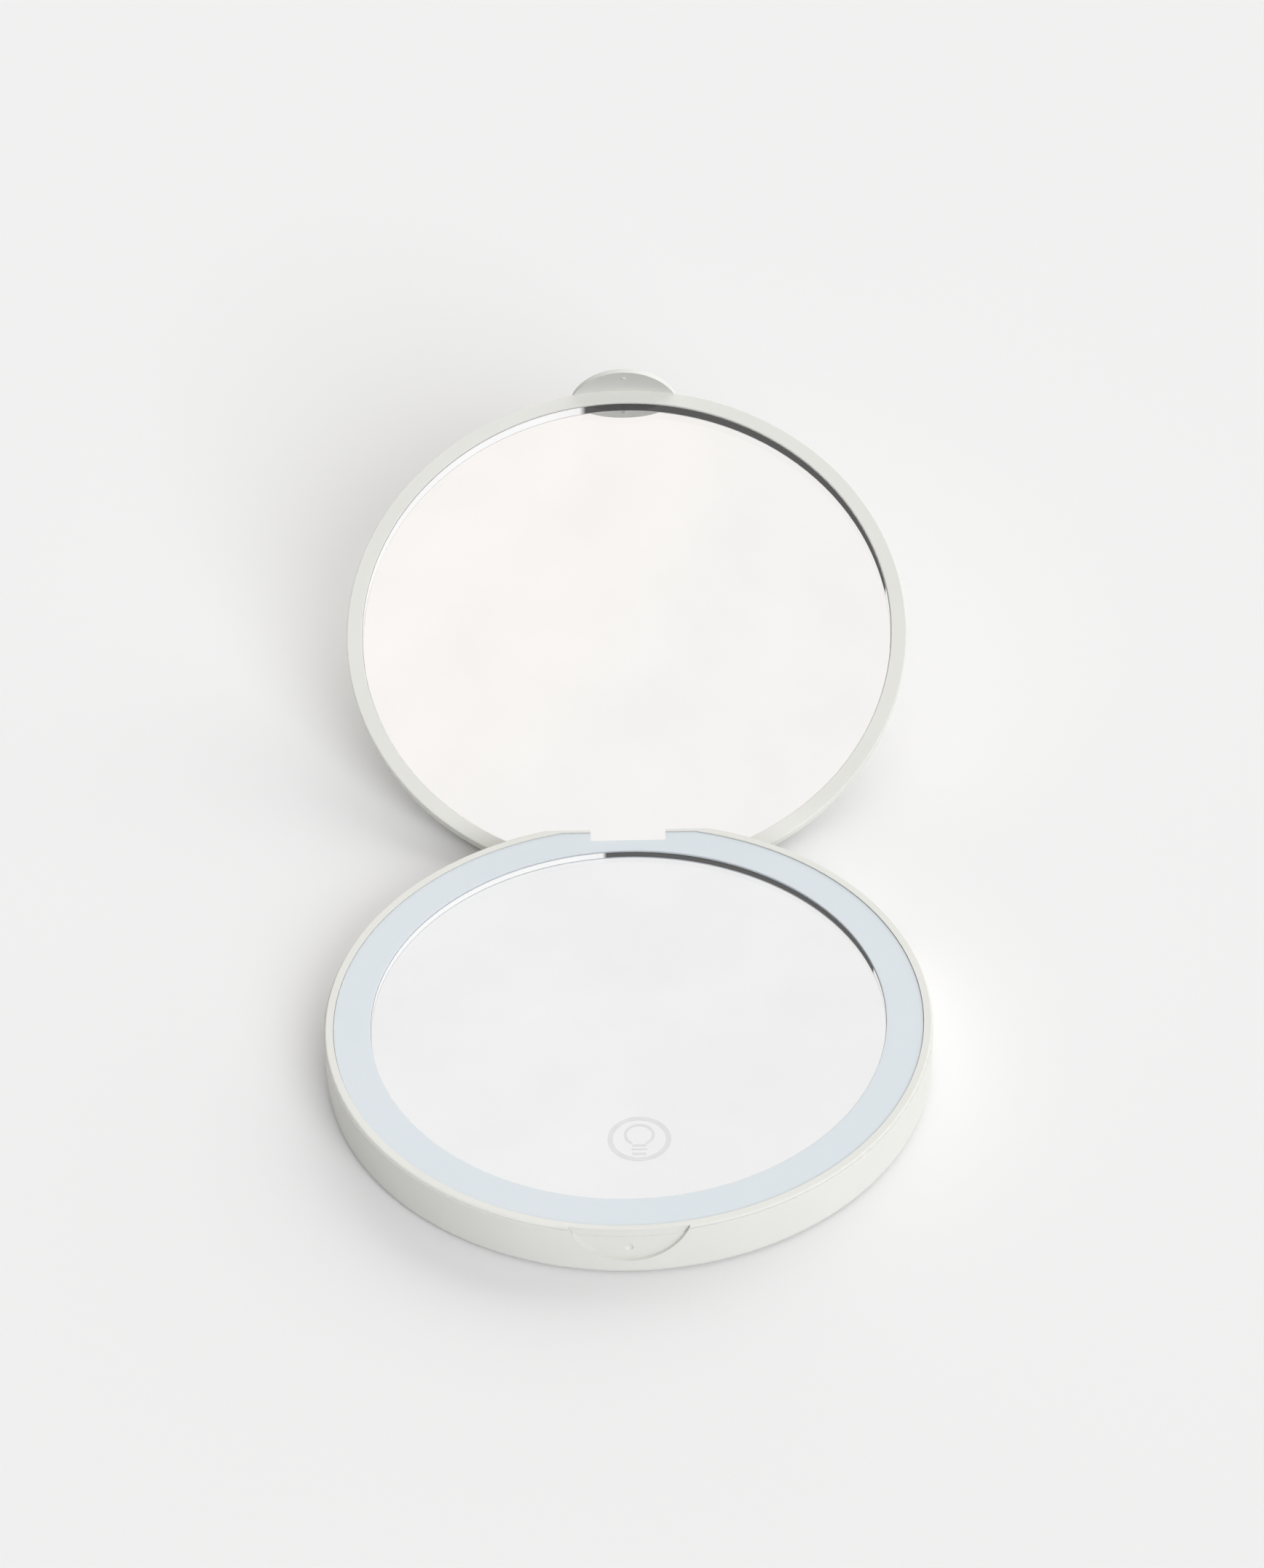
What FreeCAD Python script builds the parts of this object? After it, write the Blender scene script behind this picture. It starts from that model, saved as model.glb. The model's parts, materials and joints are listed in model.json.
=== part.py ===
import FreeCAD, Part
import math
import os

# Lit compact mirror, open on a table. Millimetres, +Z up, +Y towards the hinge.
# The origin is the middle of the base's underside. The lid is drawn closed and then turned open.

# Base casing
base_radius = 44.0
rear_cut = 1.8              # depth of the flat at the hinge
shell_wall = 1.6
floor_thickness = 1.0
underside_round = 1.2
lip_width = 0.5             # edge of the shell that carries the bezel's rim
lip_rear_width = 0.25
lip_drop = 0.35             # the lip ends below the bezel's top
lip_round = 0.12
lip_gap = 0.1               # round the bezel's skirt

# Bezel, light ring and mirror of the base, from the outside inwards
bezel_inset = 0.12          # bezel's side, in from the shell's
bezel_seam = 0.05           # fine parting line between bezel and shell
bezel_width = 1.23
bezel_rear_width = 0.63
bezel_round = 0.25
ring_gap = 0.06
ring_width = 5.34
ring_flange = 0.5           # thickness of the edge that the bezel clamps
ring_flange_reach = 0.3
ring_flange_gap = 0.05
ring_drop = 0.15
ring_round = 0.1            # inner edge, down to the mirror
mirror_gap = 0.04
mirror_drop = 0.3           # below the light ring
mirror_glass = 1.0
mirror_bevel = 0.04
tape_thickness = 0.65
tape_inset = 0.5

# Carrier plate under the base mirror, with a channel for the lights
channel_floor = 0.6
channel_depth = 0.7
plate_thickness = 1.0
fence_width = 0.7           # upstand between mirror and lights
fence_gap = 0.2
carrier_gap = 0.5
carrier_rear_gap = 0.2

# Lights
strip_thickness = 0.15
strip_inset = 0.4
strip_rear_gap = 2.6
chip_count = 20
chip_length = 2.8
chip_width = 1.6
chip_height = 0.6
chip_end_gap = 1.6          # first chip, along from the strip's end

# Hinge
hinge_inset = 1.3           # axis ahead of the base's flat
hinge_drop = 3.3            # axis below the bezel's top
pin_radius = 0.5
pin_half_length = 9.4
pin_base_gap = 0.02
pin_lid_gap = 0.05
knuckle_radius = 1.1
knuckle_gap = 0.2
knuckle_half_width = 5.45
knuckle_side_gap = 0.23
hinge_wall = 1.2
open_angle = 156.4
stop_gap = 0.2
stop_width = 0.8

# Lid
closed_gap = 0.3
lid_rear_cut = 2.4
lid_rim_width = 2.45
lid_rim_round = 0.18
lid_land = 3.7              # rim at the hinge side
lid_side_height = 2.6
lid_side_lean = 0.12
lid_side_round = 1.5
lid_dome_height = 2.9
lid_dome_slope = 22.0
lid_dome_round = 33.0
lid_table_gap = 0.15
lid_mirror_drop = 0.35
lid_mirror_glass = 1.75
lid_mirror_gap = 0.04
lid_tape_thickness = 0.15
pocket_depth = 1.85
pocket_inset = 11.2         # hollow behind the mirror, in from its edge
pocket_boss = 6.0
rib_count = 6
rib_width = 1.2

# Thumb tab and the recess that it closes into
tab_radius = 8.75
tab_reach = 5.45
tab_inset = 0.25            # inner face of the tab, in from the casing's side
tab_proud = 0.5             # outer face
tab_gap = 0.3
tab_root = 1.0              # height that it is joined to the lid
tab_side_gap = 0.4
nub_radius = 0.6
nub_height = 0.2
nub_drop = 3.4
dimple_gap = 0.12

# Charging socket and control board, set out along a radius of the base
socket_angle = 35.0
socket_width = 8.94
socket_height = 3.26
socket_length = 7.35
socket_wall = 0.3
socket_setback = 0.6
socket_gap = 0.27
socket_tongue = 0.7
socket_tongue_width = 6.7
socket_tongue_length = 4.6
port_gap = 0.22
board_length = 20.5
board_width = 18.0
board_thickness = 0.8
board_lift = 1.0
board_wall_gap = 3.5
board_post_radius = 1.8
board_post_inset = 3.2
board_screw_radius = 0.6
board_screw_head = 1.3
board_screw_head_height = 0.8
controller_length = 4.0
controller_width = 5.0
controller_height = 1.2
controller_inset = 8.5      # each part's middle, in from the board's inner edge
charger_side = 3.0
charger_height = 1.0
charger_inset = 12.0
coil_length = 2.6
coil_width = 1.6
coil_height = 0.9
chip_row_offset = 5.6

# Carrier posts and screws
post_count = 4
post_inset = 4.1            # in from the mirror's edge
post_angle = 75.0
post_radius = 2.2
screw_radius = 0.75
screw_head = 1.5
screw_head_height = 0.75
screw_gap = 0.02
screw_hole_floor = 0.5
screw_slot = 0.4

# Battery
battery_length = 28.0
battery_width = 20.0
battery_thickness = 3.0
battery_round = 0.8
battery_x = -10.0
battery_y = -14.0
battery_tape_thickness = 0.2
battery_tape_inset = 2.0

# Touch electrode and wires
touch_x = 1.5
touch_inset = 12.6          # in from the mirror's front edge
touch_radius = 5.8
touch_thickness = 0.25
touch_gap = 0.2
lead_radius = 0.3
lead_gap = 0.02
lead_spacing = 1.4
lead_hole_gap = 0.25
lead_landing = 1.0          # how far each wire reaches over the board
lead_approach = 5.0
battery_lead_run = 4.0
battery_lead_side = 6.0
touch_lead_side = 5.5
touch_lead_fall = 0.5
touch_turn_x = 6.0
touch_turn_y = 16.0
led_lead_inset = 6.0
led_lead_tail = 1.6

# Heights worked out from the stack inside the base
bay_height = 2 * socket_gap + socket_height
channel_base = floor_thickness + bay_height
channel_top = channel_base + channel_floor
plate_top = channel_top + channel_depth
plate_base = plate_top - plate_thickness
mirror_base = plate_top + tape_thickness
mirror_top = mirror_base + mirror_glass
ring_top = mirror_top + mirror_drop
base_height = ring_top + ring_drop
chip_top = channel_top + strip_thickness + chip_height
ring_base = (chip_top + ring_top - ring_flange) / 2
ring_flange_top = ring_base + ring_flange
lip_top = base_height - lip_drop

# Radii and flats worked out from the casing inwards
rear_flat = base_radius - rear_cut
lip_radius = base_radius - lip_width
lip_flat = rear_flat - lip_rear_width
skirt_radius = lip_radius - lip_gap
skirt_flat = lip_flat - lip_gap
bezel_radius = base_radius - bezel_inset
bezel_flat = rear_flat - bezel_inset
bezel_inner = bezel_radius - bezel_width
bezel_inner_flat = bezel_flat - bezel_rear_width
ring_radius = bezel_inner - ring_gap
ring_flat = bezel_inner_flat - ring_gap
ring_flange_radius = bezel_inner + ring_flange_reach
ring_inner = ring_radius - ring_width
mirror_radius = ring_inner - mirror_gap
fence_inner = mirror_radius + fence_gap
fence_radius = fence_inner + fence_width
cavity_radius = base_radius - shell_wall
carrier_radius = cavity_radius - carrier_gap
post_circle = mirror_radius - post_inset
strip_inner = fence_radius + strip_inset
strip_radius = carrier_radius - strip_inset

# Hinge places
hinge_y = rear_flat - hinge_inset
hinge_z = base_height - hinge_drop
notch_y = hinge_y - knuckle_radius - knuckle_gap
notch_half_width = knuckle_half_width + knuckle_side_gap
cavity_flat = notch_y - hinge_wall
carrier_flat = cavity_flat - carrier_rear_gap
strip_flat = carrier_flat - strip_rear_gap

# Lid places, closed
lid_radius = base_radius
lid_rim_z = base_height + closed_gap
lid_rear_flat = lid_radius - lid_rear_cut
opening_radius = lid_radius - lid_rim_width
opening_flat = lid_rear_flat - lid_land
lid_mirror_radius = opening_radius - lid_mirror_gap
pocket_radius = lid_mirror_radius - pocket_inset
lid_mirror_z = lid_rim_z + lid_mirror_drop
lid_tape_z = lid_mirror_z + lid_mirror_glass
lid_floor_z = lid_tape_z + lid_tape_thickness
lid_top_z = lid_rim_z + lid_side_height + lid_dome_height

# Tab and recess places
tab_inner_radius = lid_radius - tab_inset
recess_back = tab_inner_radius - tab_gap
tab_centre_z = lid_rim_z + tab_radius - tab_reach
recess_radius = tab_radius + tab_side_gap
nub_z = base_height - nub_drop

# Socket and board places, along the socket's radius
socket_outer = base_radius - socket_setback
socket_back = socket_outer - socket_length
socket_z = floor_thickness + socket_gap + socket_height / 2
board_outer = base_radius - board_wall_gap
board_inner = board_outer - board_length
board_base = floor_thickness + board_lift
board_top = board_base + board_thickness
board_post_x = board_inner + board_post_inset
board_post_y = board_width / 2 - board_post_inset
battery_base = floor_thickness + battery_tape_thickness
battery_top = battery_base + battery_thickness
touch_base = plate_top - touch_thickness
touch_y = touch_inset - mirror_radius

V = FreeCAD.Vector
X_AXIS = V(1, 0, 0)
Z_AXIS = V(0, 0, 1)
far = 2 * (base_radius + lid_radius)


def box(x0, x1, y0, y1, z0, z1):
    """A block between two corners."""
    return Part.makeBox(x1 - x0, y1 - y0, z1 - z0, V(x0, y0, z0))


def disc(radius, z0, z1, x=0.0, y=0.0):
    """An upright cylinder."""
    return Part.makeCylinder(radius, z1 - z0, V(x, y, z0))


def flat_disc(radius, flat, z0, z1):
    """A disc cut flat on its hinge side."""
    return disc(radius, z0, z1).cut(box(-far, far, flat, far, z0, z1))


def rod_x(radius, x0, x1, y, z):
    """A cylinder along X."""
    return Part.makeCylinder(radius, x1 - x0, V(x0, y, z), X_AXIS)


def joined(shapes):
    """One clean solid out of touching or overlapping solids."""
    return shapes[0].multiFuse(shapes[1:]).removeSplitter()


def prism_x(points, half_width):
    """A prism along X on an outline of (y, z) points."""
    corners = [V(-half_width, y, z) for y, z in points]
    return Part.Face(Part.makePolygon(corners + corners[:1])).extrude(V(2 * half_width, 0, 0))


def rounded_wire(points, radii, closed):
    """Straight runs through the points, with a tangent arc of its own radius at each corner."""
    corners = []
    for i, point in enumerate(points):
        if radii[i] == 0:
            corners.append((point, None, point))
            continue
        before = (points[i - 1] - point).normalize()
        after = (points[(i + 1) % len(points)] - point).normalize()
        half = before.getAngle(after) / 2
        reach = radii[i] / math.tan(half)
        crown = point + (before + after).normalize() * (radii[i] / math.sin(half) - radii[i])
        corners.append((point + before * reach, crown, point + after * reach))
    edges = []
    for i, (start, crown, end) in enumerate(corners):
        if crown:
            edges.append(Part.Arc(start, crown, end).toShape())
        following = corners[(i + 1) % len(corners)][0]
        if closed or i + 1 < len(corners):
            edges.append(Part.LineSegment(end, following).toShape())
    return Part.Wire(edges)


def turned(profile):
    """A body turned about the Z axis from (radius, height, corner radius) points."""
    points = [V(r, 0, z) for r, z, _ in profile]
    wire = rounded_wire(points, [corner for _, _, corner in profile], True)
    return Part.Face(wire).revolve(V(0, 0, 0), Z_AXIS, 360)


def rounded_edges(shape, radius, chosen):
    """The shape with every edge that the test chooses rounded."""
    return shape.makeFillet(radius, [edge for edge in shape.Edges if chosen(edge)])


def level_edge(z, inside=0.0, outside=far):
    """A test for edges that lie at one height, between two distances from the axis."""
    def chosen(edge):
        bound = edge.BoundBox
        reach = math.hypot(edge.Vertexes[0].X, edge.Vertexes[0].Y)
        return abs(bound.ZMin - z) < 1e-4 and abs(bound.ZMax - z) < 1e-4 and inside < reach < outside
    return chosen


def lead(points, radius):
    """A wire along straight runs, with each arc as large as its two runs allow."""
    radii = [0.0]
    for before, here, after in zip(points, points[1:], points[2:]):
        turn = (here - before).getAngle(after - here)
        run = min((here - before).Length, (after - here).Length)
        radii.append(0.45 * run / math.tan(turn / 2))
    path = rounded_wire(points, radii + [0.0], False)
    section = Part.Wire(Part.makeCircle(radius, points[0], points[1] - points[0]))
    return path.makePipeShell([section], True, False)


def along_socket(shape):
    """Turns a piece that was drawn along +X to the socket's place in the wall."""
    shape.rotate(V(0, 0, 0), Z_AXIS, socket_angle)
    return shape


def socket_point(x, y, z):
    """A point given along the socket's radius."""
    angle = math.radians(socket_angle)
    return V(x * math.cos(angle) - y * math.sin(angle), x * math.sin(angle) + y * math.cos(angle), z)


def opened(shape):
    """Turns a lid piece from closed to open on the hinge."""
    shape.rotate(V(0, hinge_y, hinge_z), X_AXIS, -open_angle)
    return shape


def ring_places(count, radius, first_angle):
    """Points evenly spaced round the base."""
    for i in range(count):
        angle = math.radians(first_angle + 360.0 * i / count)
        yield radius * math.cos(angle), radius * math.sin(angle)


def hinge_notch():
    """Slot in the rear of the base for the lid's leaf."""
    return box(-notch_half_width, notch_half_width, notch_y, far, -1, base_height + 1)


def tab_recess():
    """Shallow recess in the front wall for the thumb tab, its back curved with the wall."""
    round_cut = Part.makeCylinder(recess_radius, far, V(0, 0, tab_centre_z), V(0, -1, 0))
    return round_cut.cut(disc(recess_back, -far, far))


def lid_stop():
    """Ledge under the hinge that the open lid's rim comes to rest against."""
    angle = math.radians(open_angle)
    reach = hinge_drop + closed_gap - stop_gap
    slope = -math.tan(angle)
    foot_y = hinge_y + reach * math.sin(angle)
    foot_z = hinge_z + reach * math.cos(angle)
    ledge_y = rear_flat - stop_width
    ledge_z = foot_z + (ledge_y - foot_y) * slope
    outer_y = rear_flat + stop_width
    outer_z = foot_z + (outer_y - foot_y) * slope
    return prism_x([(ledge_y, ledge_z), (outer_y, outer_z), (outer_y, -1), (ledge_y, -1)], far)


def slot_block(width, height, x0, x1):
    """A block along X with round ends, at the socket's height."""
    reach = width / 2 - height / 2
    ends = [Part.makeCylinder(height / 2, x1 - x0, V(x0, side * reach, socket_z), X_AXIS) for side in (-1, 1)]
    middle = box(x0, x1, -reach, reach, socket_z - height / 2, socket_z + height / 2)
    return joined([middle] + ends)


def base_shell():
    body = flat_disc(base_radius, rear_flat, 0, lip_top)
    body = rounded_edges(body, underside_round, level_edge(0))
    body = rounded_edges(body, lip_round, level_edge(lip_top))
    body = body.cut(flat_disc(cavity_radius, cavity_flat, floor_thickness, lip_top))
    body = body.cut(flat_disc(lip_radius, lip_flat, ring_base, lip_top))
    posts = [disc(post_radius, floor_thickness, plate_base, x, y)
             for x, y in ring_places(post_count, post_circle, post_angle)]
    board_posts = [along_socket(disc(board_post_radius, floor_thickness, board_base, board_post_x, y))
                   for y in (-board_post_y, board_post_y)]
    body = joined([body] + posts + board_posts)
    cuts = [hinge_notch(), tab_recess(), lid_stop()]
    cuts.append(along_socket(slot_block(socket_width + 2 * port_gap, socket_height + 2 * port_gap,
                                        cavity_radius - shell_wall, far)))
    cuts.append(rod_x(pin_radius + pin_base_gap, -pin_half_length, far, hinge_y, hinge_z))
    cuts += [disc(screw_radius + screw_gap, floor_thickness + screw_hole_floor, plate_base, x, y)
             for x, y in ring_places(post_count, post_circle, post_angle)]
    board_hole = board_screw_radius + screw_gap
    cuts += [along_socket(disc(board_hole, floor_thickness / 2, board_base, board_post_x, y))
             for y in (-board_post_y, board_post_y)]
    dimple_y = nub_height - nub_radius - recess_back
    cuts.append(Part.makeSphere(nub_radius + dimple_gap, V(0, dimple_y, nub_z)))
    for cut in cuts:
        body = body.cut(cut)
    return body


def base_bezel():
    body = flat_disc(bezel_radius, bezel_flat, lip_top + bezel_seam, base_height)
    body = rounded_edges(body, bezel_round, level_edge(base_height))
    body = joined([body, flat_disc(skirt_radius, skirt_flat, ring_base, lip_top + bezel_seam)])
    body = body.cut(flat_disc(bezel_inner, bezel_inner_flat, ring_base, base_height))
    rebate_radius = ring_flange_radius + ring_flange_gap
    body = body.cut(flat_disc(rebate_radius, bezel_inner_flat, ring_base, ring_flange_top))
    return body.cut(hinge_notch()).cut(tab_recess())


def light_diffuser():
    body = flat_disc(ring_radius, ring_flat, ring_base, ring_top)
    flange = flat_disc(ring_flange_radius, ring_flat, ring_base, ring_flange_top)
    body = joined([body, flange]).cut(disc(ring_inner, ring_base, ring_top))
    body = rounded_edges(body, ring_round, level_edge(ring_top, 0, ring_inner + mirror_gap))
    return body.cut(hinge_notch())


def base_mirror():
    return turned([(0, mirror_base, 0), (mirror_radius, mirror_base, 0),
                   (mirror_radius, mirror_top - mirror_bevel, 0),
                   (mirror_radius - mirror_bevel, mirror_top, 0), (0, mirror_top, 0)])


def base_mirror_tape():
    return disc(mirror_radius - tape_inset, plate_top, mirror_base)


def mirror_carrier():
    plate = disc(fence_radius, plate_base, plate_top)
    fence = disc(fence_radius, channel_base, ring_base).cut(disc(fence_inner, channel_base, ring_base))
    channel = disc(carrier_radius, channel_base, channel_top)
    channel = channel.cut(disc(fence_inner, channel_base, channel_top))
    body = joined([plate, fence, channel]).cut(box(-far, far, carrier_flat, far, 0, base_height))
    for x, y in ring_places(post_count, post_circle, post_angle):
        body = body.cut(screw(x, y, screw_gap))
    body = body.cut(disc(touch_radius + touch_gap, touch_base, plate_top, touch_x, touch_y))
    body = body.cut(disc(lead_radius + lead_hole_gap, plate_base, touch_base, touch_x, touch_y))
    for start in led_lead_rises():
        body = body.cut(disc(lead_radius + lead_hole_gap, channel_base, channel_top, start.x, start.y))
    return body


def screw(x, y, grown=0.0):
    """Countersunk screw, its head just below the carrier's face."""
    top = plate_top
    neck = top - screw_head_height
    tip = floor_thickness + screw_hole_floor + screw_gap
    head = Part.makeCone(screw_radius + grown, screw_head + grown, screw_head_height, V(x, y, neck))
    return joined([head, disc(screw_radius + grown, tip, neck, x, y)])


def carrier_screws():
    screws = []
    depth = plate_top - screw_slot
    for x, y in ring_places(post_count, post_circle, post_angle):
        half = screw_head / 2
        slots = box(x - half, x + half, y - screw_slot / 2, y + screw_slot / 2, depth, plate_top)
        cross = box(x - screw_slot / 2, x + screw_slot / 2, y - half, y + half, depth, plate_top)
        screws.append(screw(x, y).cut(slots).cut(cross))
    return Part.makeCompound(screws)


def led_strip():
    top = channel_top + strip_thickness
    body = disc(strip_radius, channel_top, top).cut(disc(strip_inner, channel_top, top))
    return body.cut(box(-far, far, strip_flat, far, channel_top, top))


def led_chips():
    base = channel_top + strip_thickness
    middle = (strip_inner + strip_radius) / 2
    strip_end = math.acos(strip_flat / middle) + (chip_end_gap + chip_length / 2) / middle
    first = math.degrees(strip_end)
    step = (360.0 - 2 * first) / (chip_count - 1)
    chips = []
    for i in range(chip_count):
        chip = box(middle - chip_width / 2, middle + chip_width / 2, -chip_length / 2, chip_length / 2,
                   base, base + chip_height)
        chip.rotate(V(0, 0, 0), Z_AXIS, 90.0 + first + step * i)
        chips.append(chip)
    return Part.makeCompound(chips)


def control_board():
    half = board_width / 2
    body = box(board_inner, board_outer, -half, half, board_base, board_top)
    reach = socket_width / 2 + socket_gap
    body = body.cut(box(socket_back - socket_gap, far, -reach, reach, board_base, board_top))
    for y in (-board_post_y, board_post_y):
        body = body.cut(disc(board_screw_radius + screw_gap, board_base, board_top, board_post_x, y))
    corner = V(board_outer, half, 0).Length
    limit = cavity_radius - carrier_gap
    if corner > limit:
        body = body.common(disc(limit, board_base, board_top))
    return along_socket(body)


def board_chips():
    # Middle along the radius and across, then length, width and height of each part on the board
    parts = [(controller_inset, 0.0, controller_length, controller_width, controller_height),
             (charger_inset, -chip_row_offset, charger_side, charger_side, charger_height),
             (charger_inset, chip_row_offset, coil_length, coil_width, coil_height)]
    chips = []
    for x, y, length, width, height in parts:
        middle = board_inner + x
        chips.append(box(middle - length / 2, middle + length / 2, y - width / 2, y + width / 2,
                         board_top, board_top + height))
    return along_socket(Part.makeCompound(chips))


def board_screws():
    screws = []
    for y in (-board_post_y, board_post_y):
        head = disc(board_screw_head, board_top, board_top + board_screw_head_height, board_post_x, y)
        shank = disc(board_screw_radius, floor_thickness / 2 + screw_gap, board_top, board_post_x, y)
        slot = box(board_post_x - board_screw_head, board_post_x + board_screw_head, y - screw_slot / 2,
                   y + screw_slot / 2, board_top + board_screw_head_height - screw_slot, far)
        screws.append(joined([head, shank]).cut(slot))
    return along_socket(Part.makeCompound(screws))


def usb_socket():
    outer = slot_block(socket_width, socket_height, socket_back, socket_outer)
    mouth = slot_block(socket_width - 2 * socket_wall, socket_height - 2 * socket_wall,
                       socket_back + socket_wall, far)
    half = socket_tongue_width / 2
    tongue = box(socket_back, socket_back + socket_tongue_length, -half, half,
                 socket_z - socket_tongue / 2, socket_z + socket_tongue / 2)
    return along_socket(joined([outer.cut(mouth), tongue]))


def battery_cell():
    body = box(battery_x - battery_length / 2, battery_x + battery_length / 2,
               battery_y - battery_width / 2, battery_y + battery_width / 2, battery_base, battery_top)
    return body.makeFillet(battery_round, body.Edges)


def battery_tape():
    half_length = battery_length / 2 - battery_tape_inset
    half_width = battery_width / 2 - battery_tape_inset
    return box(battery_x - half_length, battery_x + half_length, battery_y - half_width,
               battery_y + half_width, floor_thickness, battery_base)


def battery_leads():
    leads = []
    start_x = battery_x + battery_length / 2 + lead_gap
    height = board_top + lead_radius + lead_gap
    for side in (-1, 1):
        start_y = battery_y + battery_width / 4 + side * lead_spacing
        start = V(start_x, start_y, (battery_base + battery_top) / 2)
        across = side * lead_spacing - battery_lead_side
        bend = socket_point(board_inner - lead_approach, across, height)
        landing = socket_point(board_inner + lead_landing, across, height)
        leads.append(lead([start, start + X_AXIS * battery_lead_run, bend, landing], lead_radius))
    return Part.makeCompound(leads)


def led_lead_rises():
    """Where the two wires of the lights come up through the carrier."""
    radius = (strip_inner + strip_radius) / 2
    y = strip_flat + lead_radius + lead_hole_gap + strip_inset
    x = math.sqrt(radius ** 2 - y ** 2)
    return [V(x - lead_spacing / 2, y, 0), V(x + lead_spacing / 2, y, 0)]


def led_leads():
    leads = []
    low = board_top + lead_radius + lead_gap
    high = channel_top + strip_thickness + lead_radius + lead_gap
    for i, rise in enumerate(led_lead_rises()):
        edge = board_width / 2 - lead_landing - i * lead_spacing
        start = socket_point(board_outer - led_lead_inset, edge, low)
        leads.append(lead([start, V(rise.x, rise.y, low), V(rise.x, rise.y, high),
                           V(rise.x, rise.y - led_lead_tail, high)], lead_radius))
    return Part.makeCompound(leads)


def touch_pad():
    return disc(touch_radius, touch_base, plate_top, touch_x, touch_y)


def touch_lead():
    low = plate_base - lead_radius - lead_gap
    landing_z = board_top + lead_radius + lead_gap
    landing = socket_point(board_inner + lead_landing, touch_lead_side, landing_z)
    approach = socket_point(board_inner - lead_approach, touch_lead_side, low - touch_lead_fall)
    return lead([V(touch_x, touch_y, touch_base - lead_gap), V(touch_x, touch_y, low),
                 V(touch_x + touch_turn_x, touch_y + touch_turn_y, low), approach, landing], lead_radius)


def hinge_pin():
    return rod_x(pin_radius, -pin_half_length + pin_base_gap, pin_half_length, hinge_y, hinge_z)


def table_cut():
    """What would lie below the table when the lid is open, turned back to the closed lid."""
    below = box(-far, far, -far, far, -far, lid_table_gap)
    below.rotate(V(0, hinge_y, hinge_z), X_AXIS, open_angle)
    return below


def hinge_leaf():
    """Leaf and knuckle that reach from the lid's rim down to the pin."""
    leaf_top = lid_rim_z + lid_side_height
    leaf = box(-knuckle_half_width, knuckle_half_width, hinge_y - knuckle_radius, hinge_y + knuckle_radius,
               hinge_z, leaf_top)
    return joined([leaf, rod_x(knuckle_radius, -knuckle_half_width, knuckle_half_width, hinge_y, hinge_z)])


def thumb_tab():
    """Round tongue that hangs over the base's front when the lid is closed, with its catch nub."""
    tongue = Part.makeCylinder(tab_radius, far, V(0, 0, tab_centre_z), V(0, -1, 0))
    tongue = tongue.common(disc(lid_radius + tab_proud, 0, lid_rim_z + tab_root))
    tongue = tongue.cut(disc(tab_inner_radius, 0, far))
    nub = Part.makeSphere(nub_radius, V(0, nub_height - nub_radius - tab_inner_radius, nub_z))
    return tongue, nub.common(disc(lid_radius, 0, lid_rim_z))


def lid_shell():
    side_z = lid_rim_z + lid_side_height
    side_radius = lid_radius - lid_side_lean
    crown_radius = side_radius - lid_dome_height / math.tan(math.radians(lid_dome_slope))
    body = turned([(0, lid_rim_z, 0), (lid_radius, lid_rim_z, lid_rim_round),
                   (side_radius, side_z, lid_side_round), (crown_radius, lid_top_z, lid_dome_round),
                   (0, lid_top_z, 0)])
    body = body.cut(box(-far, far, lid_rear_flat, far, 0, far))
    body = body.cut(flat_disc(opening_radius, opening_flat, lid_rim_z, lid_floor_z))
    body = rounded_edges(body, lid_rim_round, level_edge(lid_rim_z, 0, opening_radius + lid_mirror_gap))
    pocket = disc(pocket_radius, lid_floor_z, lid_floor_z + pocket_depth)
    pocket = pocket.cut(disc(pocket_boss, lid_floor_z, lid_floor_z + pocket_depth))
    for i in range(rib_count):
        rib = box(0, pocket_radius, -rib_width / 2, rib_width / 2, lid_floor_z, lid_floor_z + pocket_depth)
        rib.rotate(V(0, 0, 0), Z_AXIS, 360.0 * i / rib_count)
        pocket = pocket.cut(rib)
    body = body.cut(pocket)
    tongue, nub = thumb_tab()
    body = joined([body, hinge_leaf(), tongue, nub]).cut(table_cut())
    body = body.cut(rod_x(pin_radius + pin_lid_gap, -far, far, hinge_y, hinge_z))
    return opened(body)


def lid_mirror():
    return opened(flat_disc(lid_mirror_radius, opening_flat - lid_mirror_gap, lid_mirror_z, lid_tape_z))


def lid_mirror_tape():
    flat = opening_flat - lid_mirror_gap - tape_inset
    return opened(flat_disc(lid_mirror_radius - tape_inset, flat, lid_tape_z, lid_floor_z))


makers = [base_shell, base_bezel, light_diffuser, base_mirror, base_mirror_tape, mirror_carrier,
          carrier_screws, led_strip, led_chips, control_board, board_chips, board_screws, usb_socket,
          battery_cell, battery_tape, battery_leads, led_leads, touch_pad, touch_lead, hinge_pin,
          lid_shell, lid_mirror, lid_mirror_tape]

os.makedirs("parts", exist_ok=True)
for make in makers:
    shape = make()
    shape.exportStep("parts/" + make.__name__ + ".step")
    print(make.__name__, "solids", len(shape.Solids), "valid", shape.isValid(), "mm3", round(shape.Volume, 1))
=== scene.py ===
import json
import math

import bpy
from mathutils import Matrix, Vector

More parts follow.
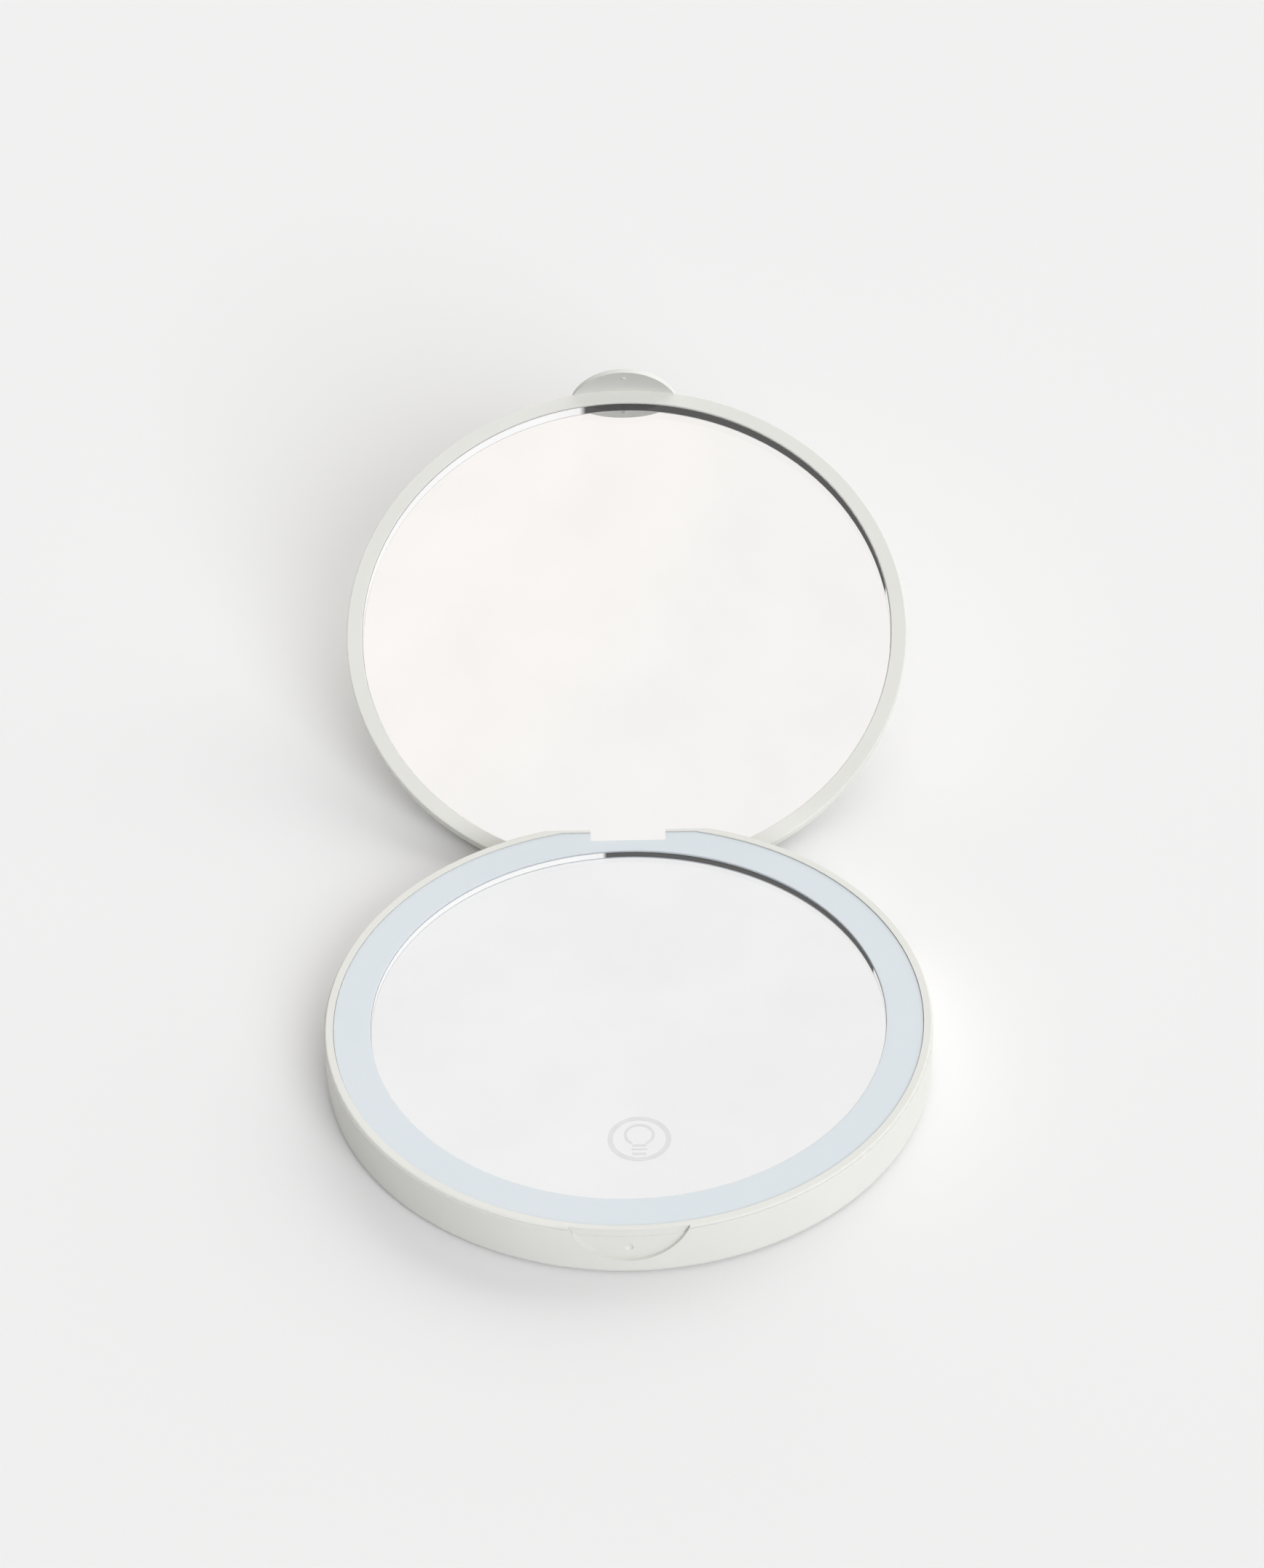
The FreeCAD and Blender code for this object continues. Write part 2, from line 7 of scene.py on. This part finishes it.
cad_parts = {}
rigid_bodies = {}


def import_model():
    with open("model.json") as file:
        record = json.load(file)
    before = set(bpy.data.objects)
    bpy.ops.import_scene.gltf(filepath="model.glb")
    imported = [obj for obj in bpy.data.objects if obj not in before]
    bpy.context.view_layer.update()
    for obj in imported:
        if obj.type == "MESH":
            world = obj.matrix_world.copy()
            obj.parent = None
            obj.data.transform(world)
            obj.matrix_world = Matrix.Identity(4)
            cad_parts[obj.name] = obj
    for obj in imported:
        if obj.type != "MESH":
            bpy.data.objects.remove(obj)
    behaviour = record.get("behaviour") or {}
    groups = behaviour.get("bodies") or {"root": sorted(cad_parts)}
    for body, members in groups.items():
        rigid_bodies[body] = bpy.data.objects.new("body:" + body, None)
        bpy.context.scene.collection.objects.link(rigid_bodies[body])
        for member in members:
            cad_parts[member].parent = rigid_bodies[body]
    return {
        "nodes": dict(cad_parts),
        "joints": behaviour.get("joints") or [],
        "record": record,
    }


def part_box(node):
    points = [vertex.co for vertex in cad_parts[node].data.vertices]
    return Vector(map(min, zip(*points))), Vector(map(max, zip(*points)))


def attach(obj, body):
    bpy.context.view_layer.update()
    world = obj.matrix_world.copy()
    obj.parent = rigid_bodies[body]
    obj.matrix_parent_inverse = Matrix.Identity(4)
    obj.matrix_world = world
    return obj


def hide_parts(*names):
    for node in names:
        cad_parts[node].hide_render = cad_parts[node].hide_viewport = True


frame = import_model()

# Lit compact mirror, open on a pale table. Sizes here are in millimetres, and MM turns them to metres.
MM = 0.001

# Objects of the start-up scene
for leftover in [o for o in bpy.data.objects if o.name in ("Cube", "Light", "Camera")]:
    bpy.data.objects.remove(leftover)
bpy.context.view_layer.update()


def node_box(node):
    """Lowest and highest corner of a CAD node, in millimetres."""
    low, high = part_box(node)
    return low / MM, high / MM


# Heights and places taken from the frame
mirror_low, mirror_high = node_box("base_mirror")
pad_low, pad_high = node_box("touch_pad")
ring_top = node_box("light_diffuser")[1].z
diode_top = node_box("led_chips")[1].z

# Hinge of the lid, and the turn from the closed lid to the open one
hinge = frame["joints"][0]
hinge_place = Matrix.Translation(Vector(hinge["pos_m"]))
lid_turn = Matrix.Rotation(-math.radians(hinge["range_deg"][1]), 4, Vector(hinge["axis"]))
lid_opening = hinge_place @ lid_turn @ hinge_place.inverted()
closed_points = [lid_opening.inverted() @ v.co / MM for v in frame["nodes"]["lid_mirror"].data.vertices]
lid_glass_radius = max(v.x for v in closed_points)
lid_glass_flat = max(v.y for v in closed_points)
lid_glass_front = min(v.z for v in closed_points)
lid_glass_back = max(v.z for v in closed_points)

# Glass of both mirrors
glass_sides = 256
glass_bevel = 0.01          # the front edge is only just broken
tape_clearance = 0.02       # keeps the silvering off the tape that it is stuck to
weld_distance = 0.001
smooth_angle = 30.0         # degrees, edges of made pieces that turn more stay sharp

# Touch symbol: a ring with a lamp bulb in it, etched in the silvering over the electrode
symbol_x = (pad_low.x + pad_high.x) / 2
symbol_y = (pad_low.y + pad_high.y) / 2
symbol_ring_radius = 4.1
symbol_ring_stroke = 0.74
bulb_radius = 1.97
bulb_stroke = 0.42
bulb_rise = 0.81            # bulb's middle behind the ring's middle
bulb_mouth = 60.0           # degrees left open where the cap closes it
# Lines of the bulb's cap: place in front of the ring's middle, length and stroke
cap_lines = [(1.30, 2.0, 0.42), (2.06, 2.2, 0.28), (2.98, 2.0, 0.42)]
film_thickness = 0.012
symbol_ring_points = 128
bulb_points = 64

# Diodes under the light ring: the middle of their strip, and the first one's turn from +Y, taken from the frame
strip_radii = [math.hypot(v.co.x, v.co.y) / MM for v in frame["nodes"]["led_strip"].data.vertices]
strip_middle = (min(strip_radii) + max(strip_radii)) / 2
diode_turns = [math.atan2(-v.co.x, v.co.y) % math.tau for v in frame["nodes"]["led_chips"].data.vertices]
diode_reach = math.radians(8.0)     # more than one diode, less than the step to the next
first_diode = [t for t in diode_turns if t < min(diode_turns) + diode_reach]
diode_start = (min(first_diode) + max(first_diode)) / 2
diode_count = 20
lens_radius = 0.55
lens_height = 0.14
lens_segments = 16
lens_rings = 8

# Finishes: the part of the noise over which colour and gloss drift, and how the grain shows
drift_low = 0.3
drift_high = 0.7
drift_detail = 3.0
grain_detail = 2.0
grain_strength = 0.35
opal_depth = 1.5            # how far light sinks into the light ring

# Table
table_reach = 3000.0

# Light on the object: glows of the room, each with its direction, where it starts and where it is full, as
# cosines of the angle from that direction, its colour and its level
room_glows = [((0.462, 0.887, 0.0), 0.482, 0.582, "#FFFEFC", 1.67),     # window behind on the right
              ((0.0, 0.0, 1.0), 0.30, 1.00, "#FFFEFC", 0.84)]           # ceiling
# The same room as the mirrors and the camera see it
seen_glows = [((0.0, 0.0, 1.0), -1.0, -0.99, "#FFFFFF", 0.97),          # pale all round
              ((1.0, 0.0, 0.0), 0.10, 0.30, "#FFFFFF", 0.10),           # brighter on the right
              ((0.0, 0.0, 1.0), 0.90, 0.97, "#FFD59A", 0.05),           # warm ceiling
              ((-0.15, 0.20, 0.968), 0.982, 0.990, "#FFB870", 0.045)]   # and its warmest part
# Its dark side, on the left, is kept for light that turns round in the edges of the glass, so that the mirrors
# stay pale from every side. A plain reflection counts 4 bounces, and that light counts more
dark_glows = [((0.0, 0.0, 1.0), -1.0, -0.99, "#FFFFFF", 0.07)]
dark_side = ((-0.929, -0.371, 0.0), 0.148, 0.172)
plain_bounces = 4.5
# Soft lamp in front on the right: the direction it comes from, and its width in degrees
lamp_side = (0.387, -0.789, 0.477)
lamp_spread = 34.4
lamp_colour = "#F9FAFF"
lamp_level = 1.81

# Camera, from the ellipses of the base, ring and lid in the picture, with its angles in degrees
picture_height = 2154       # pixels
focal_pixels = 6041.3
camera_distance = 635.52    # from the middle of the light ring's top
camera_pitch = 39.275
camera_yaw = -0.818
camera_roll = -1.474
camera_shift_x = -0.537
camera_shift_y = -33.591
camera_near = 10.0
sensor_length = 36.0


def linear(code):
    """Linear colour of an sRGB hex value."""
    parts = [int(code[i:i + 2], 16) / 255 for i in (1, 3, 5)]
    return [p / 12.92 if p <= 0.04045 else ((p + 0.055) / 1.055) ** 2.4 for p in parts] + [1.0]


def add(tree, kind, settings=None, inputs=None):
    """Adds a node, with its settings, and its inputs as values or links."""
    node = tree.nodes.new(kind)
    for name, value in (settings or {}).items():
        setattr(node, name, value)
    for name, value in (inputs or {}).items():
        if isinstance(value, bpy.types.NodeSocket):
            tree.links.new(value, node.inputs[name])
        else:
            node.inputs[name].default_value = value
    return node


def per_mm(size):
    """Texture scale at which a pattern's cell is that many millimetres."""
    return 1.0 / (size * MM)


def finish(name, colours, roughness, cell=4.0, grain=0.3, depth=0.004, **values):
    """A material with a slow drift between two colours, a little drift in gloss, and a fine grain in relief.

    The cells of drift and grain and the grain's depth are in millimetres. Values go to the shader's own sockets.
    """
    material = bpy.data.materials.new(name)
    material.use_nodes = True
    tree = material.node_tree
    shader = tree.nodes["Principled BSDF"]
    for socket, value in values.items():
        shader.inputs[socket.replace("_", " ")].default_value = value
    place = add(tree, "ShaderNodeTexCoord").outputs["Object"]
    drift = add(tree, "ShaderNodeTexNoise", {}, {"Vector": place, "Scale": per_mm(cell),
                                                 "Detail": drift_detail}).outputs["Fac"]
    tint = add(tree, "ShaderNodeValToRGB", {}, {"Fac": drift})
    for stop, position, colour in zip(tint.color_ramp.elements, (drift_low, drift_high), colours):
        stop.position = position
        stop.color = linear(colour)
    tree.links.new(tint.outputs["Color"], shader.inputs["Base Color"])
    gloss = add(tree, "ShaderNodeMapRange", {}, {"Value": drift, "From Min": drift_low, "From Max": drift_high,
                                                 "To Min": roughness[0], "To Max": roughness[1]})
    tree.links.new(gloss.outputs["Result"], shader.inputs["Roughness"])
    fine = add(tree, "ShaderNodeTexNoise", {}, {"Vector": place, "Scale": per_mm(grain), "Detail": grain_detail})
    relief = add(tree, "ShaderNodeBump", {}, {"Height": fine.outputs["Fac"], "Strength": grain_strength,
                                              "Distance": depth * MM})
    tree.links.new(relief.outputs["Normal"], shader.inputs["Normal"])
    return material


def slot_finishes():
    """The material of every slot in the record."""
    return {
        # ABS from a lightly blasted mould: pale, slightly warm, with a soft sheen and a fine matte grain. The
        # real grain is about 0.05 mm, drawn coarser here so that it shows
        "casing": finish("moulded_abs", ("#E7E7E1", "#E3E3DD"), (0.40, 0.46), 18.0, 0.22, 0.006, IOR=1.53),
        # Milky acrylic light ring: light sinks in a little, so that edges glow and the surface looks cool and
        # even
        "opal": finish("opal_acrylic", ("#DCE3E8", "#DAE2E7"), (0.28, 0.32), 30.0, 0.6, 0.002, IOR=1.49,
                       Subsurface_Weight=0.35, Subsurface_Scale=opal_depth * MM,
                       Subsurface_Radius=(1.0, 1.0, 1.0)),
        # Chemical silver on the back of the glass: a bright reflection, a shade uneven
        "mirror": finish("chemical_silver", ("#F8F8F8", "#F6F6F6"), (0.005, 0.015), 14.0, 3.0, 0.0, Metallic=1.0),
        # Foam tape: dull, open cells
        "tape": finish("acrylic_foam_tape", ("#CFCFCA", "#C4C4BF"), (0.8, 0.9), 1.5, 0.25, 0.03),
        # White-filled polycarbonate: glossy, bounces the light
        "reflector": finish("white_polycarbonate", ("#F2F2F0", "#EEEEEC"), (0.28, 0.34), 12.0, IOR=1.58),
        # Coated polyimide strip: satin white
        "circuit_film": finish("coated_polyimide", ("#EDEBE1", "#E4E1D5"), (0.35, 0.45), 3.0),
        # Diode bodies in white nylon: satin, a little creamy
        "diode": finish("diode_nylon", ("#F1EFE6", "#EAE7DC"), (0.35, 0.45), 1.0, 0.1),
        # Solder mask over glass cloth: green gloss, a little uneven
        "board": finish("solder_mask", ("#17543A", "#124830"), (0.28, 0.36), 2.5, 0.4, 0.01, IOR=1.5),
        # Epoxy packages: black, slightly grainy
        "chip": finish("black_epoxy", ("#17181A", "#1F2022"), (0.5, 0.6), 0.8, 0.1, 0.01),
        # Turned steel: grey, finely roughened
        "steel": finish("turned_steel", ("#B9BABC", "#A9AAAD"), (0.28, 0.40), 1.2, 0.15, Metallic=1.0),
        # Pouch foil: soft aluminium, slightly crumpled
        "cell_foil": finish("pouch_foil", ("#C9CBCD", "#B9BCBE"), (0.32, 0.45), 5.0, 2.0, 0.06, Metallic=1.0),
        # Silicone wire sleeves: plain colours, dull and soft to the eye
        "red_sleeve": finish("red_silicone", ("#A8201C", "#98201B"), (0.45, 0.55), 2.0),
        "white_sleeve": finish("white_silicone", ("#E4E4E0", "#DCDCD8"), (0.45, 0.55), 2.0),
        "black_sleeve": finish("black_silicone", ("#161616", "#1E1E1E"), (0.45, 0.55), 2.0),
        # Bare copper foil: reddish, a little tarnished
        "copper": finish("copper_foil", ("#C8805C", "#B86F4E"), (0.28, 0.4), 2.0, Metallic=1.0),
    }


def dress_frame(materials):
    """Gives each CAD node the material of its slot."""
    for row in frame["record"]["subparts"]:
        node = frame["nodes"][row["node"]]
        node.data.materials.clear()
        node.data.materials.append(materials[row["material_slot"]])


def made_mesh(name, tree, inputs):
    """A plain mesh object from a geometry tree, with the tree's inputs set by their names."""
    piece = bpy.data.objects.new(name, bpy.data.meshes.new(name))
    bpy.context.scene.collection.objects.link(piece)
    modifier = piece.modifiers.new(name, "NODES")
    modifier.node_group = tree
    for socket in tree.interface.items_tree:
        if socket.item_type == "SOCKET" and socket.in_out == "INPUT" and socket.name in inputs:
            modifier[socket.identifier] = inputs[socket.name]
    bpy.context.view_layer.update()
    ready = piece.evaluated_get(bpy.context.evaluated_depsgraph_get())
    mesh = bpy.data.meshes.new_from_object(ready)
    piece.modifiers.remove(modifier)
    piece.data = mesh
    mesh.name = name
    for i in reversed(range(len(mesh.materials))):
        if mesh.materials[i] is None:
            mesh.materials.pop(index=i)
    mesh.shade_smooth()
    mesh.set_sharp_from_angle(angle=math.radians(smooth_angle))
    return piece


def new_tree(name, inputs):
    """An empty geometry tree with named number inputs, and those inputs."""
    tree = bpy.data.node_groups.new(name, "GeometryNodeTree")
    for label in inputs:
        tree.interface.new_socket(label, in_out="INPUT", socket_type="NodeSocketFloat")
    tree.interface.new_socket("Geometry", in_out="OUTPUT", socket_type="NodeSocketGeometry")
    return tree, add(tree, "NodeGroupInput").outputs


def close_tree(tree, geometry, *coats):
    """Ends a geometry tree in plain mesh, with each material on the faces that it is for."""
    made = add(tree, "GeometryNodeRealizeInstances", {}, {"Geometry": geometry}).outputs["Geometry"]
    for material, faces in coats:
        made = add(tree, "GeometryNodeSetMaterial", {}, {"Geometry": made, "Selection": faces,
                                                         "Material": material}).outputs["Geometry"]
    add(tree, "NodeGroupOutput", {}, {"Geometry": made})


def diode_lenses():
    """Yellow phosphor lenses, one on each diode round the strip."""
    # Phosphor gel: egg yellow, smooth and slightly cloudy
    gel = finish("phosphor_gel", ("#E8D27A", "#E2C965"), (0.28, 0.34), 0.6, 0.1, 0.002, IOR=1.45)
    tree, given = new_tree("diode_lenses", ("Radius", "Start", "Sweep", "Lens radius", "Lens height", "Top"))
    arc = add(tree, "GeometryNodeCurveArc", {}, {"Resolution": diode_count, "Radius": given["Radius"],
                                                 "Start Angle": given["Start"], "Sweep Angle": given["Sweep"]})
    size = add(tree, "ShaderNodeCombineXYZ", {}, {"X": given["Lens radius"], "Y": given["Lens radius"],
                                                  "Z": given["Lens height"]})
    ball = add(tree, "GeometryNodeMeshUVSphere", {}, {"Segments": lens_segments, "Rings": lens_rings,
                                                      "Radius": 1.0})
    lift = add(tree, "ShaderNodeCombineXYZ", {}, {"Z": given["Top"]})
    spots = add(tree, "GeometryNodeSetPosition", {}, {"Geometry": arc.outputs["Curve"],
                                                      "Offset": lift.outputs["Vector"]})
    lenses = add(tree, "GeometryNodeInstanceOnPoints", {}, {"Points": spots.outputs["Geometry"],
                                                            "Instance": ball.outputs["Mesh"],
                                                            "Scale": size.outputs["Vector"]})
    close_tree(tree, lenses.outputs["Instances"], (gel, True))
    piece = made_mesh("diode_lenses", tree, {"Radius": strip_middle * MM, "Start": math.pi / 2 + diode_start,
                                             "Sweep": math.tau - 2 * diode_start,
                                             "Lens radius": lens_radius * MM, "Lens height": lens_height * MM,
                                             "Top": diode_top * MM})
    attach(piece, "base")


def glass_blank_tree(glass, silver):
    """Tree for a round glass blank, cut flat on one side, with a bevel in front and silver behind."""
    tree, given = new_tree("glass_blank", ("Radius", "Flat", "Thickness", "Bevel"))
    disc = add(tree, "GeometryNodeMeshCircle", {"fill_type": "NGON"}, {"Vertices": glass_sides,
                                                                       "Radius": given["Radius"]})
    position = add(tree, "GeometryNodeInputPosition").outputs["Position"]
    spot = add(tree, "ShaderNodeSeparateXYZ", {}, {0: position})
    cut = add(tree, "ShaderNodeMath", {"operation": "MINIMUM"}, {0: spot.outputs["Y"], 1: given["Flat"]})
    trimmed = add(tree, "ShaderNodeCombineXYZ", {}, {"X": spot.outputs["X"], "Y": cut.outputs["Value"]})
    back = add(tree, "GeometryNodeSetPosition", {}, {"Geometry": disc.outputs["Mesh"],
                                                     "Position": trimmed.outputs["Vector"]}).outputs["Geometry"]
    body = add(tree, "ShaderNodeMath", {"operation": "SUBTRACT"}, {0: given["Thickness"], 1: given["Bevel"]})
    wall = add(tree, "GeometryNodeExtrudeMesh", {"mode": "FACES"}, {"Mesh": back,
                                                                    "Offset Scale": body.outputs["Value"],
                                                                    "Individual": False})
    edge = add(tree, "GeometryNodeExtrudeMesh", {"mode": "FACES"}, {"Mesh": wall.outputs["Mesh"],
                                                                    "Selection": wall.outputs["Top"],
                                                                    "Offset Scale": given["Bevel"],
                                                                    "Individual": False})
    narrow = add(tree, "ShaderNodeMath", {"operation": "DIVIDE"}, {0: given["Bevel"], 1: given["Radius"]})
    narrow = add(tree, "ShaderNodeMath", {"operation": "SUBTRACT"}, {0: 1.0, 1: narrow.outputs["Value"]})
    front = add(tree, "GeometryNodeScaleElements", {}, {"Geometry": edge.outputs["Mesh"],
                                                        "Selection": edge.outputs["Top"],
                                                        "Scale": narrow.outputs["Value"]})
    turned = add(tree, "GeometryNodeFlipFaces", {}, {"Mesh": back})
    both = add(tree, "GeometryNodeJoinGeometry")
    for part in (front.outputs["Geometry"], turned.outputs["Mesh"]):
        tree.links.new(part, both.inputs["Geometry"])
    whole = add(tree, "GeometryNodeMergeByDistance", {}, {"Geometry": both.outputs["Geometry"],
                                                          "Distance": weld_distance * MM})
    behind = add(tree, "ShaderNodeMath", {"operation": "LESS_THAN"}, {0: spot.outputs["Z"],
                                                                      1: weld_distance * MM})
    close_tree(tree, whole.outputs["Geometry"], (glass, True), (silver, behind.outputs["Value"]))
    return tree


def glass_mirrors(silver):
    """Both mirrors, as glass with silvered backs, each in the place of its CAD node."""
    # Float glass with ground and polished edges: clear, so that its edge turns light round and shows as a line
    glass = finish("float_glass", ("#FCFCFC", "#FAFAFA"), (0.0, 0.01), 14.0, 3.0, 0.0, IOR=1.52,
                   Transmission_Weight=1.0)
    tree = glass_blank_tree(glass, silver)
    base_radius = mirror_high.x
    base_back = mirror_low.z + tape_clearance
    lid_back = lid_glass_back - tape_clearance
    lid_place = lid_opening @ Matrix.Translation((0, 0, lid_back * MM)) @ Matrix.Rotation(math.pi, 4, "Y")
    blanks = [("base_mirror", "base", base_radius, 2 * base_radius, mirror_high.z - base_back,
               Matrix.Translation((0, 0, base_back * MM))),
              ("lid_mirror", "lid", lid_glass_radius, lid_glass_flat, lid_back - lid_glass_front, lid_place)]
    for node, body, radius, flat, thickness, place in blanks:
        piece = made_mesh(node + "_glass", tree, {"Radius": radius * MM, "Flat": flat * MM,
                                                  "Thickness": thickness * MM, "Bevel": glass_bevel * MM})
        piece.data.transform(place)
        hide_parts(node)
        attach(piece, body)


def band(tree, curve, stroke, film):
    """A flat band of that stroke and thickness along a curve."""
    section = add(tree, "GeometryNodeCurvePrimitiveQuadrilateral", {"mode": "RECTANGLE"},
                  {"Width": stroke, "Height": film})
    return add(tree, "GeometryNodeCurveToMesh", {}, {"Curve": curve, "Profile Curve": section.outputs["Curve"],
                                                     "Fill Caps": True}).outputs["Mesh"]


def touch_symbol():
    """Ring and bulb of the touch symbol, as thin bands that follow their outlines on the silvering."""
    # Silver etched thin for the lit symbol: the same reflection, greyer and blurred
    etched = finish("etched_silver", ("#EDEDED", "#EAEAEA"), (0.16, 0.2), 2.0, 0.15, 0.0, Metallic=1.0)
    tree, given = new_tree("touch_symbol", ("Ring radius", "Ring stroke", "Bulb radius", "Bulb stroke",
                                            "Bulb rise", "Mouth start", "Mouth sweep", "Film", "X", "Y", "Level"))
    ring = add(tree, "GeometryNodeCurvePrimitiveCircle", {"mode": "RADIUS"},
               {"Resolution": symbol_ring_points, "Radius": given["Ring radius"]})
    bulb = add(tree, "GeometryNodeCurveArc", {}, {"Resolution": bulb_points, "Radius": given["Bulb radius"],
                                                  "Start Angle": given["Mouth start"],
                                                  "Sweep Angle": given["Mouth sweep"]})
    rise = add(tree, "ShaderNodeCombineXYZ", {}, {"Y": given["Bulb rise"]})
    raised = add(tree, "GeometryNodeTransform", {}, {"Geometry": bulb.outputs["Curve"],
                                                     "Translation": rise.outputs["Vector"]})
    bands = [band(tree, ring.outputs["Curve"], given["Ring stroke"], given["Film"]),
             band(tree, raised.outputs["Geometry"], given["Bulb stroke"], given["Film"])]
    for fall, length, stroke in cap_lines:
        line = add(tree, "GeometryNodeCurvePrimitiveLine", {"mode": "POINTS"},
                   {"Start": Vector((-length / 2, -fall, 0)) * MM, "End": Vector((length / 2, -fall, 0)) * MM})
        bands.append(band(tree, line.outputs["Curve"], stroke * MM, given["Film"]))
    sheet = add(tree, "GeometryNodeJoinGeometry")
    for mesh in bands:
        tree.links.new(mesh, sheet.inputs["Geometry"])
    place = add(tree, "ShaderNodeCombineXYZ", {}, {"X": given["X"], "Y": given["Y"], "Z": given["Level"]})
    laid = add(tree, "GeometryNodeTransform", {}, {"Geometry": sheet.outputs["Geometry"],
                                                   "Translation": place.outputs["Vector"]})
    close_tree(tree, laid.outputs["Geometry"], (etched, True))
    mouth = math.radians(bulb_mouth)
    sizes = {"Ring radius": symbol_ring_radius, "Ring stroke": symbol_ring_stroke, "Bulb radius": bulb_radius,
             "Bulb stroke": bulb_stroke, "Bulb rise": bulb_rise, "Film": film_thickness,
             "X": symbol_x, "Y": symbol_y, "Level": mirror_low.z + tape_clearance + film_thickness}
    sizes = {label: size * MM for label, size in sizes.items()}
    piece = made_mesh("touch_symbol", tree, sizes | {"Mouth start": (mouth - math.pi) / 2,
                                                     "Mouth sweep": math.tau - mouth})
    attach(piece, "base")


def table_top():
    """Wide pale table, matte, that takes the object's soft shadow."""
    reach = table_reach * MM
    mesh = bpy.data.meshes.new("table_top")
    mesh.from_pydata([(-reach, -reach, 0), (reach, -reach, 0), (reach, reach, 0), (-reach, reach, 0)], [],
                     [(0, 1, 2, 3)])
    table = bpy.data.objects.new("table_top", mesh)
    bpy.context.scene.collection.objects.link(table)
    # Coated board: pale and without gloss, so that only the shadow shows
    mesh.materials.append(finish("matte_board", ("#F0F0F0", "#EFEFEF"), (0.9, 0.95), 300.0, 1.0, 0.0))


def leaning(tree, facing, direction, start, full, level=1.0):
    """Rises from nothing to the level as the view turns towards a direction."""
    turn = add(tree, "ShaderNodeVectorMath", {"operation": "DOT_PRODUCT"}, {0: facing, 1: direction})
    rise = add(tree, "ShaderNodeMapRange", {}, {"Value": turn.outputs["Value"], "From Min": start,
                                                "From Max": full, "To Max": level})
    return rise.outputs["Result"]


def room(tree, facing, glows):
    """The sum of glows, each brightening towards its own direction."""
    total = None
    for direction, start, full, colour, level in glows:
        strength = leaning(tree, facing, direction, start, full, level)
        glow = add(tree, "ShaderNodeBackground", {}, {"Color": linear(colour), "Strength": strength})
        light = glow.outputs["Background"]
        if total:
            light = add(tree, "ShaderNodeAddShader", {}, {0: total, 1: light}).outputs["Shader"]
        total = light
    return total


def studio_light():
    """A room that is bright behind and above, with a dark side, and a soft lamp in front on the right."""
    world = bpy.data.worlds.new("studio")
    bpy.context.scene.world = world
    world.use_nodes = True
    tree = world.node_tree
    tree.nodes.clear()
    facing = add(tree, "ShaderNodeTexCoord").outputs["Generated"]
    path = add(tree, "ShaderNodeLightPath")
    seen = path.outputs["Is Camera Ray"]
    for kind in ("Is Glossy Ray", "Is Transmission Ray"):
        either = add(tree, "ShaderNodeMath", {"operation": "MAXIMUM"}, {0: seen, 1: path.outputs[kind]})
        seen = either.outputs["Value"]
    turned = add(tree, "ShaderNodeMath", {"operation": "GREATER_THAN"}, {0: path.outputs["Ray Depth"],
                                                                         1: plain_bounces})
    dark = add(tree, "ShaderNodeMath", {"operation": "MULTIPLY"}, {0: turned.outputs["Value"],
                                                                   1: leaning(tree, facing, *dark_side)})
    shown = add(tree, "ShaderNodeMixShader", {}, {"Fac": dark.outputs["Value"],
                                                  1: room(tree, facing, seen_glows),
                                                  2: room(tree, facing, dark_glows)})
    both = add(tree, "ShaderNodeMixShader", {}, {"Fac": seen, 1: room(tree, facing, room_glows),
                                                 2: shown.outputs["Shader"]})
    add(tree, "ShaderNodeOutputWorld", {}, {"Surface": both.outputs["Shader"]})
    lamp = bpy.data.lights.new("soft_lamp", "SUN")
    lamp.energy = lamp_level
    lamp.color = linear(lamp_colour)[:3]
    lamp.angle = math.radians(lamp_spread)
    light = bpy.data.objects.new("soft_lamp", lamp)
    bpy.context.scene.collection.objects.link(light)
    light.rotation_euler = Vector(lamp_side).to_track_quat("Z", "Y").to_euler()
    light.visible_transmission = False      # so that the glass edges show the room, and no spot
    light.visible_glossy = False            # so that the lid does not go white when seen from behind


def picture_camera():
    """Camera that looks down on the open compact from the front, as in the picture."""
    pitch, yaw, roll = (math.radians(a) for a in (camera_pitch, camera_yaw, camera_roll))
    back = Vector((0, -math.cos(pitch), math.sin(pitch)))
    level_up = Vector((0, math.sin(pitch), math.cos(pitch)))
    level_right = Vector((1, 0, 0))
    right = level_right * math.cos(roll) + level_up * math.sin(roll)
    up = level_up * math.cos(roll) - level_right * math.sin(roll)
    place = back * camera_distance - right * camera_shift_x - up * camera_shift_y
    turn = Matrix.Rotation(-yaw, 4, "Z")
    axes = Matrix((right, up, back)).transposed().to_4x4()
    lift = Matrix.Translation(Vector((0, 0, ring_top)) * MM)
    lens = bpy.data.cameras.new("picture_camera")
    lens.sensor_width = sensor_length
    lens.lens = focal_pixels * sensor_length / picture_height
    lens.clip_start = camera_near * MM
    camera = bpy.data.objects.new("picture_camera", lens)
    bpy.context.scene.collection.objects.link(camera)
    camera.matrix_world = lift @ turn @ Matrix.Translation(place * MM) @ axes
    bpy.context.scene.camera = camera


materials = slot_finishes()
dress_frame(materials)
glass_mirrors(materials["mirror"])
diode_lenses()
touch_symbol()
table_top()
studio_light()
picture_camera()
bpy.context.scene.view_settings.view_transform = "Standard"
